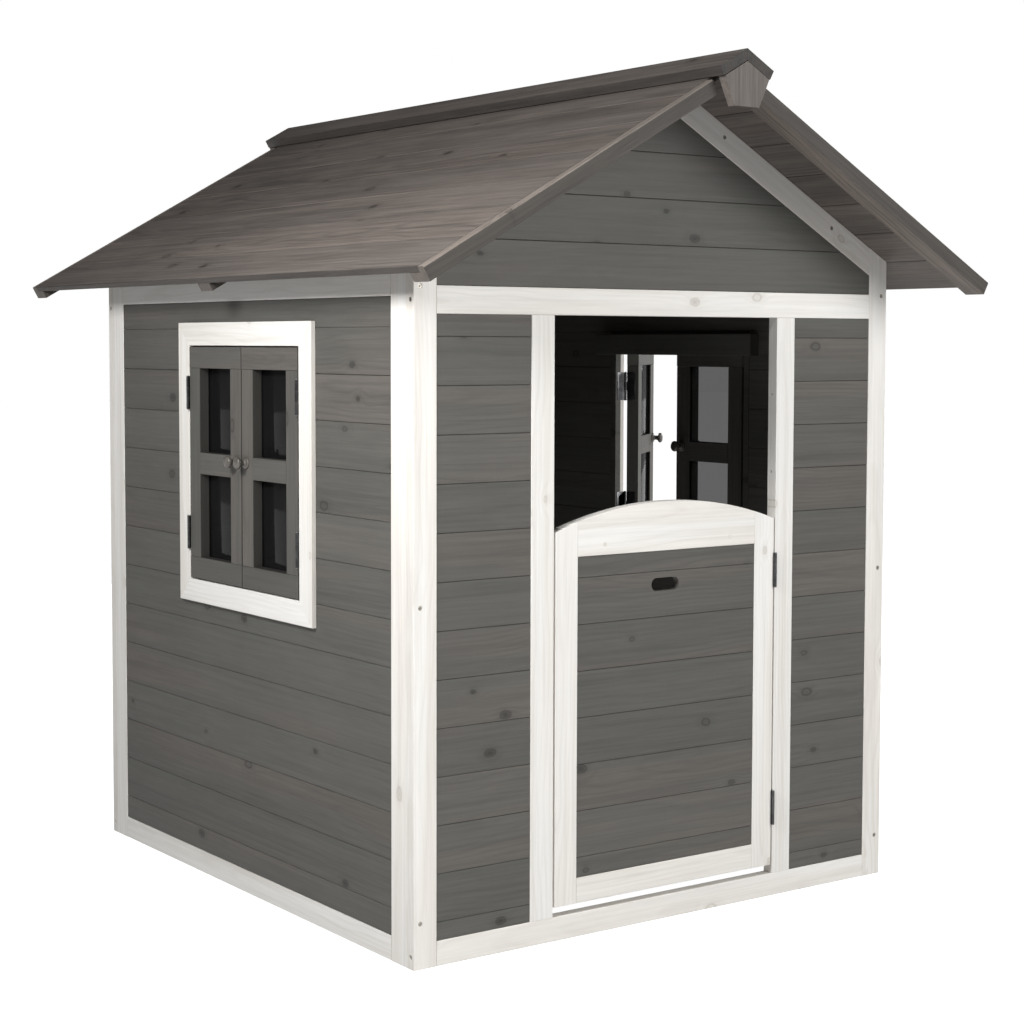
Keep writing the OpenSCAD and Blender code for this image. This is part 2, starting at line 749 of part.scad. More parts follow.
module sash_frame_local() {
    z1 = sash_rail_z[0][1];
    z2 = sash_rail_z[2][0];
    // bottom and top rails, full width
    difference() {
        cube([sash_w, sash_t, z1]);
        sash_cut(5.8, sash_w - 5.8, z1 - groove_d, z1 + 1);
    }
    difference() {
        translate([0, 0, z2]) cube([sash_w, sash_t, sash_h - z2]);
        sash_cut(5.8, sash_w - 5.8, z2 - 1, z2 + groove_d);
    }
    // hinge stile
    difference() {
        union() {
            translate([0, 0, z1 + gap]) cube([sash_m, sash_t, z2 - z1 - 2*gap]);
            sash_tongue(6, sash_m - 6, z1 - 5, z2 + 5);
        }
        sash_cut(sash_m - groove_d, sash_m + 1, z1 - 1, z2 + 1);
        for (z = sash_hinge_z) translate([0, 0, z]) leaf_screw_holes(1);
    }
    // meeting stile
    difference() {
        union() {
            translate([sash_w - sash_m, 0, z1 + gap]) cube([sash_m, sash_t, z2 - z1 - 2*gap]);
            sash_tongue(sash_w - sash_m + 6, sash_w - 6, z1 - 5, z2 + 5);
        }
        sash_cut(sash_w - sash_m - 1, sash_w - sash_m + groove_d, z1 - 1, z2 + 1);
        translate([sash_w - knob_x, -1, knob_z]) rotate([-90, 0, 0]) cylinder(r = 2.1, h = sash_t + 2);
    }
    // glazing bar
    difference() {
        union() {
            translate([sash_m + gap, 0, sash_rail_z[1][0]])
                cube([sash_w - 2*sash_m - 2*gap, sash_t, sash_rail_z[1][1] - sash_rail_z[1][0]]);
            sash_tongue(sash_m - 5, sash_w - sash_m + 5, sash_rail_z[1][0] + 0.1, sash_rail_z[1][1] - 0.1);
        }
        sash_cut(sash_m - 6, sash_w - sash_m + 6, sash_rail_z[1][1] - groove_d, sash_rail_z[1][1] + 1);
        sash_cut(sash_m - 6, sash_w - sash_m + 6, sash_rail_z[1][0] - 1, sash_rail_z[1][0] + groove_d);
    }
}

module sash_panes_local()
    for (p = pane_z)
        translate([sash_m - 4.8, sash_mid - pane_t/2, p[0] - 4.8])
            cube([sash_w - 2*sash_m + 9.6, pane_t, p[1] - p[0] + 9.6]);

// mushroom knob, foot at z = 0, growing along +Z
module knob() difference() {
    rotate_extrude() polygon([[0, 0.05], [11.5, 0.05], [11.5, 2.2], [10.6, 3.4], [6.5, 5],
        [5, 7.5], [5, 11], [6.5, 13.5], [9.8, 15.2], [11.4, 17], [11.8, 19],
        [11.3, 21.3], [9.3, 23.4], [5.5, 24.7], [0, 25]]);
    translate([0, 0, -1]) cylinder(r = 2.1, h = 13);
}

module sash_knobs_local() translate([sash_w - knob_x, 0, knob_z]) {
    rotate([90, 0, 0]) knob();
    translate([0, sash_t, 0]) rotate([-90, 0, 0]) knob();
    // through bolt
    translate([0, -11, 0]) rotate([-90, 0, 0]) cylinder(r = 2, h = sash_t + 22);
}

// places sash-local geometry at the left window, side 0 front, 1 back
module at_sash(side) at_win_pin(side)
    translate([hinge_gap/2, pin_out, sash_z0]) children();

module sash_leaves(side) at_sash_hinges(side) leaf(1);

// turns the right-hand back sash open about its pins
module open_right_back() {
    x = -win_pin_x;
    y = house_d - win_y0 - hinge_gap/2;
    translate([x, y, 0]) rotate([0, 0, sash_open]) translate([-x, -y, 0])
        to_right() children();
}

module left_front_sash_frame() color(gray) at_frame() at_sash(0) sash_frame_local();
module left_front_sash_panes() color(smoke) at_frame() at_sash(0) sash_panes_local();
module left_front_sash_knobs() color(steel) at_frame() at_sash(0) sash_knobs_local();
module left_front_sash_hinge_leaves() color(steel) at_frame() sash_leaves(0);
module left_back_sash_frame() color(gray) at_frame() at_sash(1) sash_frame_local();
module left_back_sash_panes() color(smoke) at_frame() at_sash(1) sash_panes_local();
module left_back_sash_knobs() color(steel) at_frame() at_sash(1) sash_knobs_local();
module left_back_sash_hinge_leaves() color(steel) at_frame() sash_leaves(1);
module right_front_sash_frame() color(gray) at_frame() to_right() at_sash(1) sash_frame_local();
module right_front_sash_panes() color(smoke) at_frame() to_right() at_sash(1) sash_panes_local();
module right_front_sash_knobs() color(steel) at_frame() to_right() at_sash(1) sash_knobs_local();
module right_front_sash_hinge_leaves() color(steel) at_frame() to_right() sash_leaves(1);
module right_back_sash_frame() color(gray) at_frame() open_right_back() at_sash(0) sash_frame_local();
module right_back_sash_panes() color(smoke) at_frame() open_right_back() at_sash(0) sash_panes_local();
module right_back_sash_knobs() color(steel) at_frame() open_right_back() at_sash(0) sash_knobs_local();
module right_back_sash_hinge_leaves() color(steel) at_frame() open_right_back() sash_leaves(0);

front_corner_post_left();
front_corner_post_right();
front_bottom_rail();
front_top_rail();
door_post_left();
door_post_right();
front_wall_boards_left();
front_wall_boards_right();
front_gable_boards();
front_gable_rafters();
back_corner_posts();
back_bottom_rail();
back_top_rail();
back_wall_boards();
back_gable_boards();
back_gable_rafters();
left_wall_posts();
left_wall_rails();
left_wall_boards();
left_window_trim();
left_window_jambs();
right_wall_posts();
right_wall_rails();
right_wall_boards();
right_window_trim();
right_window_jambs();
roof_boards_left();
roof_boards_right();
roof_battens_left();
roof_battens_right();
ridge_cap();
ridge_laths();
ridge_finials();
frame_screws();
hinge_frame_leaves();
hinge_pins();
door_stiles();
door_top_rail();
door_bottom_rail();
door_boards();
door_slot_board();
door_rail_plugs();
door_hinge_leaves();
left_front_sash_frame();
left_front_sash_panes();
left_front_sash_knobs();
left_front_sash_hinge_leaves();
left_back_sash_frame();
left_back_sash_panes();
left_back_sash_knobs();
left_back_sash_hinge_leaves();
right_front_sash_frame();
right_front_sash_panes();
right_front_sash_knobs();
right_front_sash_hinge_leaves();
right_back_sash_frame();
right_back_sash_panes();
right_back_sash_knobs();
right_back_sash_hinge_leaves();
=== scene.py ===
import bpy, bmesh, json, math, random
from mathutils import Vector, Matrix

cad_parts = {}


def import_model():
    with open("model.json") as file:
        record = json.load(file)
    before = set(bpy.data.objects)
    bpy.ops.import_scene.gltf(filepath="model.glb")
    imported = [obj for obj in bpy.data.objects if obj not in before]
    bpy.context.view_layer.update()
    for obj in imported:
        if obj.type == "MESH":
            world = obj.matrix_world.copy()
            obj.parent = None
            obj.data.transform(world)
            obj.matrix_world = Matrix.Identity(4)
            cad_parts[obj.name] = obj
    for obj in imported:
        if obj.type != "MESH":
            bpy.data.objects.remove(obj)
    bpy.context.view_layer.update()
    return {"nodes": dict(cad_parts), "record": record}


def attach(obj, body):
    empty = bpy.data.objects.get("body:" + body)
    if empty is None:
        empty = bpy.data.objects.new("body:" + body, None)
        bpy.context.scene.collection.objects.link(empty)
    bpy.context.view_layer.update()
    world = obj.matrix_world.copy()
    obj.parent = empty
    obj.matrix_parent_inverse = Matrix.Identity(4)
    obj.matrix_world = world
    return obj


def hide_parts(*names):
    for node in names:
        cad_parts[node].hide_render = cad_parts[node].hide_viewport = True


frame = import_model()
NODES = frame["nodes"]
BODY = {n: b for b, ns in frame["record"]["behaviour"]["bodies"].items() for n in ns}
COL = bpy.context.scene.collection
PITCH = math.radians(29.35)
OPEN = math.radians(131)
mm = 0.001


# ---------------------------------------------------------------- camera
def camera():
    yaw, pitch, roll = math.radians(35.4434), math.radians(3.4035), math.radians(0.1272)
    fwd = Vector((math.sin(yaw)*math.cos(pitch), math.cos(yaw)*math.cos(pitch), -math.sin(pitch)))
    right = Vector((math.cos(yaw), -math.sin(yaw), 0))
    up = right.cross(fwd)
    c, s = math.cos(roll), math.sin(roll)
    r2 = right*c + up*s
    u2 = up*c - right*s
    cd = bpy.data.cameras.new("photo_camera")
    cd.sensor_width = 36
    cd.lens = 2011.4*36/1024
    cd.shift_x = (512 - 505.744)/1024
    cd.shift_y = (462.557 - 512)/1024
    o = bpy.data.objects.new("photo_camera", cd)
    COL.objects.link(o)
    o.matrix_world = Matrix(((r2.x, u2.x, -fwd.x, -2.3481), (r2.y, u2.y, -fwd.y, -2.7999),
                             (r2.z, u2.z, -fwd.z, 1.0517), (0, 0, 0, 1)))
    bpy.context.scene.camera = o


camera()


# ---------------------------------------------------------------- node helpers
def lin(c):
    return tuple((v/12.92 if v <= 0.04045 else ((v + 0.055)/1.055)**2.4) for v in (x/255 for x in c)) + (1.0,)


class Tree:
    def __init__(self, tree):
        self.t = tree

    def node(self, kind, **props):
        n = self.t.nodes.new(kind)
        for k, v in props.items():
            setattr(n, k, v)
        return n

    def link(self, a, b):
        self.t.links.new(a, b)

    def put(self, socket, value):
        if isinstance(value, bpy.types.NodeSocket):
            self.link(value, socket)
        else:
            socket.default_value = value

    def math(self, op, a, b=None, c=None, clamp=False):
        n = self.node("ShaderNodeMath", operation=op, use_clamp=clamp)
        for i, v in enumerate((a, b, c)):
            if v is not None:
                self.put(n.inputs[i], v)
        return n.outputs[0]

    def vmath(self, op, a, b=None):
        n = self.node("ShaderNodeVectorMath", operation=op)
        self.put(n.inputs[0], a)
        if b is not None:
            self.put(n.inputs[1], b)
        return n.outputs["Value"] if op in ("LENGTH", "DOT_PRODUCT") else n.outputs[0]

    def noise(self, vec, scale=1.0, detail=2.0, rough=0.5, color=False, distortion=0.0):
        n = self.node("ShaderNodeTexNoise")
        n.inputs["Scale"].default_value = scale
        n.inputs["Detail"].default_value = detail
        n.inputs["Roughness"].default_value = rough
        n.inputs["Distortion"].default_value = distortion
        self.link(vec, n.inputs["Vector"])
        return n.outputs["Color" if color else 0]

    def smooth(self, x, lo, hi):
        n = self.node("ShaderNodeMapRange", interpolation_type="SMOOTHSTEP")
        self.put(n.inputs[0], x)
        self.put(n.inputs[1], lo)
        self.put(n.inputs[2], hi)
        return n.outputs[0]

    def rng(self, x, a, b, c, d):
        n = self.node("ShaderNodeMapRange")
        self.put(n.inputs[0], x)
        for i, v in enumerate((a, b, c, d)):
            n.inputs[i + 1].default_value = v
        return n.outputs[0]

    def xyz(self, v):
        n = self.node("ShaderNodeSeparateXYZ")
        self.link(v, n.inputs[0])
        return n.outputs[0], n.outputs[1], n.outputs[2]

    def vec(self, x, y, z):
        n = self.node("ShaderNodeCombineXYZ")
        for i, v in enumerate((x, y, z)):
            self.put(n.inputs[i], v)
        return n.outputs[0]

    def attr(self, name):
        return self.node("ShaderNodeAttribute", attribute_name=name)

    def mix(self, fac, a, b, mode="MIX"):
        n = self.node("ShaderNodeMix", data_type="RGBA", blend_type=mode)
        self.put(n.inputs[0], fac)
        self.put(n.inputs[6], a)
        self.put(n.inputs[7], b)
        return n.outputs[2]

    def bump(self, height, strength, dist, normal=None):
        n = self.node("ShaderNodeBump")
        n.inputs["Strength"].default_value = strength
        n.inputs["Distance"].default_value = dist
        self.link(height, n.inputs["Height"])
        if normal is not None:
            self.link(normal, n.inputs["Normal"])
        return n.outputs[0]


def new_material(name):
    m = bpy.data.materials.new(name)
    m.use_nodes = True
    t = Tree(m.node_tree)
    return m, t, m.node_tree.nodes["Principled BSDF"]


# ---------------------------------------------------------------- timber pattern
def wood_group():
    """Growth rings about a pith that runs a little askew to the board, knots
    that the rings bend round, streaks and fibre. Reads the grain, unit and seed
    attributes of the timber meshes."""
    g = bpy.data.node_groups.new("timber_pattern", "ShaderNodeTree")
    for nm in ("Ring", "Streak", "Fine", "Fibre", "Knot", "KnotEdge", "Halo", "Tone", "Tint", "Blotch", "Edge", "Seam", "End"):
        g.interface.new_socket(name=nm, in_out="OUTPUT", socket_type="NodeSocketFloat")
    t = Tree(g)
    out = t.node("NodeGroupOutput")
    grain = t.attr("grain").outputs["Vector"]
    unit = t.attr("unit").outputs["Vector"]
    seed = t.attr("seed").outputs["Fac"]
    off = t.vec(t.math("MULTIPLY", seed, 53.7), t.math("MULTIPLY", seed, 31.3), t.math("MULTIPLY", seed, 77.9))

    def at(sx, sy, sz):
        return t.vmath("ADD", t.vmath("MULTIPLY", grain, (sx, sy, sz)), off)

    w1 = t.node("ShaderNodeTexWhiteNoise", noise_dimensions="1D")
    t.link(t.math("MULTIPLY", seed, 917.0), w1.inputs["W"])
    r1, r2, r3 = t.xyz(w1.outputs["Color"])
    w2 = t.node("ShaderNodeTexWhiteNoise", noise_dimensions="1D")
    t.link(t.math("MULTIPLY", seed, 463.0), w2.inputs["W"])
    q1, q2, q3 = t.xyz(w2.outputs["Color"])
    w3 = t.node("ShaderNodeTexWhiteNoise", noise_dimensions="1D")
    t.link(t.math("MULTIPLY", seed, 1291.0), w3.inputs["W"])
    s1, s2, s3 = t.xyz(w3.outputs["Color"])
    gx, gy, gz = t.xyz(grain)

    # knots: sparse cells over the face, most of them empty
    kv = t.node("ShaderNodeTexVoronoi", voronoi_dimensions="2D", feature="F1")
    kv.inputs["Scale"].default_value = 1.0
    kv.inputs["Randomness"].default_value = 0.9
    wob = t.noise(at(55, 55, 0), 1.0, 2.0, color=True)
    kpos = t.vmath("ADD", t.vmath("ADD", t.vmath("MULTIPLY", grain, (5.0, 8.0, 0)), off),
                   t.vmath("MULTIPLY", t.vmath("SUBTRACT", wob, (0.5, 0.5, 0.5)), (0.035, 0.035, 0)))
    t.link(kpos, kv.inputs["Vector"])
    c1, c2, c3 = t.xyz(kv.outputs["Color"])
    kd = t.math("MULTIPLY", kv.outputs["Distance"], 0.155)            # metres, roughly
    keep = t.math("GREATER_THAN", c1, 0.62)
    size = t.rng(c2, 0, 1, 0.0042, 0.0100)
    core = t.rng(c3, 0.35, 0.75, 0.25, 1.0)
    knot = t.math("MULTIPLY", t.math("MULTIPLY", keep, core),
                  t.math("SUBTRACT", 1.0, t.smooth(kd, t.math("MULTIPLY", size, 0.30), size)))
    edge = t.math("MULTIPLY", keep, t.math("MULTIPLY", t.smooth(kd, t.math("MULTIPLY", size, 0.55), t.math("MULTIPLY", size, 0.85)),
                  t.math("SUBTRACT", 1.0, t.smooth(kd, t.math("MULTIPLY", size, 0.9), t.math("MULTIPLY", size, 1.35)))))
    halo = t.math("MULTIPLY", keep, t.math("SUBTRACT", 1.0, t.smooth(kd, t.math("MULTIPLY", size, 0.8), t.math("MULTIPLY", size, 3.4))))
    pull = t.math("MULTIPLY", keep, t.math("SUBTRACT", 1.0, t.smooth(kd, 0.0, 0.040)))

    # rings: wide ones that show as figure, narrow ones between them
    warp = t.vmath("SUBTRACT", t.noise(at(2.4, 6, 6), 1.0, 2.0, color=True), (0.5, 0.5, 0.5))
    wx, wy, wz = t.xyz(warp)
    cy = t.math("ADD", t.rng(r1, 0, 1, -0.034, 0.034), t.math("MULTIPLY", gx, t.rng(r3, 0, 1, -0.030, 0.030)))
    cz = t.math("ADD", t.rng(r2, 0, 1, -0.040, 0.040), t.math("MULTIPLY", gx, t.rng(q1, 0, 1, -0.040, 0.040)))
    py = t.math("ADD", t.math("SUBTRACT", gy, cy), t.math("MULTIPLY", wy, 0.050))
    pz = t.math("ADD", t.math("SUBTRACT", gz, cz), t.math("MULTIPLY", wz, 0.050))
    r = t.math("SQRT", t.math("ADD", t.math("MULTIPLY", py, py), t.math("MULTIPLY", pz, pz)))
    r = t.math("ADD", r, t.math("MULTIPLY", t.math("MULTIPLY", pull, pull), 0.012))

    def rings(freq, lo, hi):
        ph = t.math("ADD", t.math("MULTIPLY", r, freq), t.math("MULTIPLY", t.noise(at(4, 60, 60), 1.0, 1.0), 0.45))
        f = t.math("FRACT", ph)
        return t.math("MULTIPLY", t.smooth(f, lo, hi), t.math("SUBTRACT", 1.0, t.smooth(f, hi + 0.03, 1.0)))

    wide = rings(t.rng(q2, 0, 1, 75.0, 135.0), 0.38, 0.84)
    fine = rings(t.rng(q2, 0, 1, 225.0, 405.0), 0.25, 0.85)
    vary = t.rng(t.noise(at(2.2, 22, 22), 1.0, 2.0), 0.32, 0.68, 0.15, 1.0)
    ring = t.math("MULTIPLY", t.math("ADD", t.math("MULTIPLY", wide, 0.75), t.math("MULTIPLY", fine, 0.25)), vary)

    ux, uy, uz = t.xyz(unit)
    end = t.smooth(t.math("ABSOLUTE", ux), 0.9988, 0.9997)
    rim = t.math("MULTIPLY", t.smooth(t.math("ABSOLUTE", uy), 0.86, 0.99),
                 t.smooth(t.noise(at(9, 40, 40), 1.0, 2.0), 0.42, 0.66))

    # painted shade: a thin strip along each long edge, down in the joints and over the chamfers, darkened as if in
    # shadow
    joint_shade = t.smooth(t.math("ABSOLUTE", uy), 0.972, 0.986)

    outs = dict(Ring=ring, Seam=joint_shade,
                Streak=t.noise(at(1.3, 46, 46), 1.0, 3.0, 0.6),
                Fine=t.noise(at(3.0, 190, 190), 1.0, 2.0, 0.6),
                Fibre=t.noise(at(16, 620, 620), 1.0, 2.0, 0.6),
                Knot=knot, KnotEdge=edge, Halo=halo, Tone=q3,
                Tint=t.math("ADD", t.noise(at(0.9, 12, 12), 1.0, 2.0), t.rng(s1, 0, 1, -0.11, 0.13)),
                Blotch=t.noise(at(5, 12, 12), 1.0, 3.0, 0.6), Edge=rim, End=end)
    for k, v in outs.items():
        t.link(v, out.inputs[k])
    return g


WOOD = wood_group()


def timber(name, base, warm, dark, knot, rough=(0.55, 0.72), spec=0.35, ring=0.5, tone=0.10, bump=0.25, streak=0.5,
           fine=0.06, endc=None, kn=0.8, wear=0.4, joint_shade=0.85):
    m, t, p = new_material(name)
    g = t.node("ShaderNodeGroup")
    g.node_tree = WOOD
    o = g.outputs
    c = t.mix(t.math("MULTIPLY", t.smooth(o["Tint"], 0.44, 0.66), streak), lin(base), lin(warm))
    c = t.mix(t.math("MULTIPLY", t.smooth(o["Streak"], 0.44, 0.74), ring*0.7), c, lin(dark))
    c = t.mix(t.math("MULTIPLY", o["Ring"], ring), c, lin(dark))
    c = t.mix(t.math("MULTIPLY", o["Halo"], 0.35*kn), c, lin(dark))
    c = t.mix(t.math("MULTIPLY", o["KnotEdge"], 0.75*kn), c, lin(knot))
    c = t.mix(t.math("MULTIPLY", o["Knot"], kn), c, lin(knot))
    # darker along the edges, painted shade down in the board joints that dims the lit chamfers there, and dark on the
    # end grain
    c = t.mix(t.math("MULTIPLY", o["Edge"], wear), c, lin(dark))
    # painted shade in the board joints
    c = t.mix(t.math("MULTIPLY", o["Seam"], joint_shade), c, lin(knot))
    c = t.mix(t.math("MULTIPLY", o["End"], 0.75), c, lin(endc or dark))
    # whole boards lighter or darker, and uneven coverage of the stain
    k = t.math("ADD", t.rng(o["Tone"], 0, 1, 1 - tone, 1 + tone),
               t.rng(o["Blotch"], 0.3, 0.7, -0.8*tone, 0.8*tone))
    k = t.math("ADD", k, t.rng(o["Fine"], 0.3, 0.7, -fine, fine))
    k = t.math("ADD", k, t.rng(o["Fibre"], 0.3, 0.7, -0.6*fine, 0.6*fine))
    c = t.mix(1.0, c, t.vec(k, k, k), "MULTIPLY")
    t.link(c, p.inputs["Base Color"])
    t.link(t.rng(t.math("ADD", t.math("MULTIPLY", o["Ring"], 0.5), t.math("MULTIPLY", o["Fibre"], 0.5)),
                 0.1, 0.8, rough[1], rough[0]), p.inputs["Roughness"])
    p.inputs["Specular IOR Level"].default_value = spec
    h = t.math("ADD", t.math("MULTIPLY", o["Ring"], 0.55), t.math("MULTIPLY", o["Fibre"], 0.6))
    h = t.math("ADD", h, t.math("MULTIPLY", o["Fine"], 0.4))
    h = t.math("SUBTRACT", h, t.math("MULTIPLY", o["KnotEdge"], 0.8))
    t.link(t.bump(h, bump, 0.0005), p.inputs["Normal"])
    return m


MAT = {
    "white": timber("white_stain", (241, 239, 235), (232, 226, 217), (206, 200, 190), (176, 168, 156),
                    rough=(0.50, 0.66), spec=0.4, ring=0.42, tone=0.022, bump=0.25, streak=0.55,
                    fine=0.035, endc=(214, 208, 198), kn=0.55, wear=0.25, joint_shade=0.1),
    "gray": timber("gray_stain", (90, 89, 85), (103, 96, 91), (68, 67, 63), (44, 42, 39),
                   ring=0.52, tone=0.07, spec=0.3, bump=0.3, streak=0.55, fine=0.07, kn=0.8, wear=0.3),
    "roof": timber("roof_stain", (106, 99, 94), (122, 112, 105), (68, 63, 59), (50, 46, 43),
                   ring=0.62, tone=0.10, spec=0.35, bump=0.35, streak=0.6, fine=0.20, endc=(66, 61, 56), kn=0.85),
    # a lighter copy of the roof stain, used on the roof battens
    "verge": timber("roof_verge_stain", (124, 117, 110), (142, 131, 123), (82, 76, 71), (54, 50, 46),
                    ring=0.62, tone=0.08, spec=0.35, bump=0.35, streak=0.6, fine=0.20, endc=(78, 72, 67), kn=0.85),
    # the roof stain again, with near-black end faces
    "cap": timber("roof_cap_stain", (106, 99, 94), (122, 112, 105), (68, 63, 59), (50, 46, 43),
                  ring=0.62, tone=0.10, spec=0.35, bump=0.35, streak=0.6, fine=0.20, endc=(24, 23, 21), kn=0.85),
}


def metal(name, base, rough, metallic=1.0, spec=0.5, scale=900, coat=0.0):
    m, t, p = new_material(name)
    n = t.node("ShaderNodeTexCoord").outputs["Object"]
    a = t.noise(n, scale, 3.0, 0.6)
    b = t.noise(n, 60, 2.0)
    c = t.mix(t.smooth(b, 0.35, 0.7), lin(base), lin(tuple(min(255, v*1.25 + 4) for v in base)))
    t.link(c, p.inputs["Base Color"])
    t.link(t.rng(a, 0.3, 0.7, rough*0.8, rough*1.2), p.inputs["Roughness"])
    p.inputs["Metallic"].default_value = metallic
    p.inputs["Specular IOR Level"].default_value = spec
    p.inputs["Coat Weight"].default_value = coat
    t.link(t.bump(a, 0.12, 0.0002), p.inputs["Normal"])
    return m


MAT["hinge"] = metal("hinge_steel_black", (62, 62, 63), 0.30, 1.0)
MAT["pin"] = metal("hinge_pin_steel", (120, 120, 120), 0.30, 1.0)
MAT["screw"] = metal("screw_steel_dark", (128, 124, 117), 0.38, 1.0)
MAT["knob"] = metal("knob_gray_brown", (80, 76, 71), 0.38, 0.0, 0.5, 1500)


def acrylic():
    m, t, p = new_material("smoke_acrylic")
    n = t.node("ShaderNodeTexCoord").outputs["Object"]
    a = t.noise(n, 9, 2.0)
    t.link(t.mix(t.smooth(a, 0.3, 0.7), lin((22, 22, 23)), lin((26, 26, 27))), p.inputs["Base Color"])
    t.link(t.rng(a, 0.3, 0.7, 0.05, 0.09), p.inputs["Roughness"])
    p.inputs["Specular IOR Level"].default_value = 0.10
    p.inputs["Alpha"].default_value = 0.66
    return m


MAT["pane"] = acrylic()


# ---------------------------------------------------------------- timber meshes
def turn_for(node, c):
    """Rotation that lays an island of a node square to the axes."""
    if node.startswith("right_back_sash"):
        return Matrix.Rotation(-OPEN, 3, "Z")
    if node.startswith("roof_") or node.endswith("rafters") or node in ("ridge_cap", "ridge_laths"):
        return Matrix.Rotation(-PITCH if c.x > 0 else PITCH, 3, "Y")
    return Matrix.Identity(3)


def island_map(bm):
    bm.verts.index_update()
    tag, groups = {}, []
    for v in bm.verts:
        if v in tag:
            continue
        k, todo, mem = len(groups), [v], []
        tag[v] = k
        while todo:
            a = todo.pop()
            mem.append(a)
            for e in a.link_edges:
                b = e.other_vert(a)
                if b not in tag:
                    tag[b] = k
                    todo.append(b)
        groups.append(mem)
    return groups, tag


def frame_of(node, verts):
    c = sum((v.co for v in verts), Vector())/len(verts)
    R = turn_for(node, c)
    P = [R @ v.co for v in verts]
    lo = Vector((min(p.x for p in P), min(p.y for p in P), min(p.z for p in P)))
    hi = Vector((max(p.x for p in P), max(p.y for p in P), max(p.z for p in P)))
    ext = hi - lo
    order = sorted(range(3), key=lambda i: -ext[i])
    if node == "ridge_finials":
        order = [2, 0, 1]
    return R, (lo + hi)/2, ext, order


def make_timber(node, mat, arris=1.3*mm, end=0.4*mm, boards=False, min_len=6*mm, segs=3):
    bm = bmesh.new()
    bm.from_mesh(NODES[node].data)
    bmesh.ops.remove_doubles(bm, verts=bm.verts, dist=3e-6)
    bmesh.ops.dissolve_limit(bm, angle_limit=math.radians(0.6), verts=bm.verts, edges=bm.edges)
    groups, tag = island_map(bm)
    info = [frame_of(node, g) for g in groups]
    long_edges, end_edges = [], []
    for e in bm.edges:
        if len(e.link_faces) != 2:
            continue
        a = math.degrees(e.calc_face_angle(0))
        ln = e.calc_length()
        if a < 25 or ln < min_len:
            continue
        R, c, ext, order = info[tag[e.verts[0]]]
        d = R @ (e.verts[1].co - e.verts[0].co)
        along = abs(d[order[0]])/ln > 0.9
        if boards:
            if along and a < 60:
                long_edges.append(e)
            elif not along:
                mid = R @ ((e.verts[0].co + e.verts[1].co)/2) - c
                if abs(mid[order[0]]) > ext[order[0]]/2 - 1*mm and a > 60:
                    end_edges.append(e)
        elif along:
            long_edges.append(e)
        else:
            end_edges.append(e)
    if long_edges:
        bmesh.ops.bevel(bm, geom=long_edges, offset=(0.35*mm if boards else arris), offset_type="OFFSET",
                        segments=(2 if boards else segs), profile=0.5, affect="EDGES", clamp_overlap=False, loop_slide=True)
    end_edges = [e for e in end_edges if e.is_valid and len(e.link_faces) == 2]
    if end_edges:
        bmesh.ops.bevel(bm, geom=end_edges, offset=end, offset_type="OFFSET", segments=1,
                        profile=0.5, affect="EDGES", clamp_overlap=False, loop_slide=True)
    groups, tag = island_map(bm)
    key = sorted(range(len(groups)), key=lambda k: tuple(
        round(x, 4) for x in (sum((v.co for v in groups[k]), Vector())/len(groups[k]))))
    rank = {k: i for i, k in enumerate(key)}
    n = len(bm.verts)
    bm.verts.index_update()
    grain, unit, seed = [0.0]*(3*n), [0.0]*(3*n), [0.0]*n
    for k, g in enumerate(groups):
        R, c, ext, order = frame_of(node, g)
        s = random.Random("%s/%d" % (node, rank[k])).random()
        for v in g:
            q = R @ v.co - c
            for j in range(3):
                grain[3*v.index + j] = q[order[j]]
                unit[3*v.index + j] = 2*q[order[j]]/max(ext[order[j]], 1e-6)
            seed[v.index] = s
    for f in bm.faces:
        f.smooth = True
    me = bpy.data.meshes.new(node + "_detailed")
    bm.to_mesh(me)
    bm.free()
    for nm, data, kind in (("grain", grain, "FLOAT_VECTOR"), ("unit", unit, "FLOAT_VECTOR"), ("seed", seed, "FLOAT")):
        a = me.attributes.new(nm, kind, "POINT")
        a.data.foreach_set("value" if kind == "FLOAT" else "vector", data)
    me.materials.append(mat)
    o = bpy.data.objects.new(node + "_detailed", me)
    COL.objects.link(o)
    wn = o.modifiers.new("normals", "WEIGHTED_NORMAL")
    wn.keep_sharp = True
    wn.weight = 80
    sharp(me, 50)
    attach(o, BODY[node])
    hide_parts(node)
    return o


def sharp(me, deg):
    bm = bmesh.new()
    bm.from_mesh(me)
    for e in bm.edges:
        e.smooth = not (len(e.link_faces) != 2 or e.calc_face_angle(0) > math.radians(deg))
    bm.to_mesh(me)
    bm.free()


SLOT = {s["node"]: s["material_slot"] for s in frame["record"]["subparts"]}
BOARDS = {n for n in NODES if n.endswith("_boards") or "_boards_" in n or n == "door_slot_board"}
for n in NODES:
    s = SLOT[n]
    if s in ("white_timber", "gray_timber", "roof_timber"):
        m = MAT[s.split("_")[0]]
        if n.startswith("roof_battens"):
            m = MAT["verge"]
        if n == "ridge_cap":
            m = MAT["cap"]
        if n == "door_slot_board":
            make_timber(n, m, boards=True)
        elif n == "door_rail_plugs":
            make_timber(n, m, arris=0.3*mm, end=0.3*mm, min_len=0.3*mm)
        elif n in BOARDS:
            make_timber(n, m, boards=True)
        elif n.startswith("roof_battens") or n.startswith("ridge_"):
            make_timber(n, m, arris=1.0*mm)
        else:
            make_timber(n, m)


# ---------------------------------------------------------------- hardware
def add(name, bm, mat, body, slot, *nodes, smooth_deg=35):
    for f in bm.faces:
        f.smooth = True
    bmesh.ops.recalc_face_normals(bm, faces=bm.faces)
    me = bpy.data.meshes.new(name)
    bm.to_mesh(me)
    bm.free()
    me.materials.append(mat)
    sharp(me, smooth_deg)
    o = bpy.data.objects.new(name, me)
    COL.objects.link(o)
    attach(o, body)
    if nodes:
        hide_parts(*nodes)
    return o


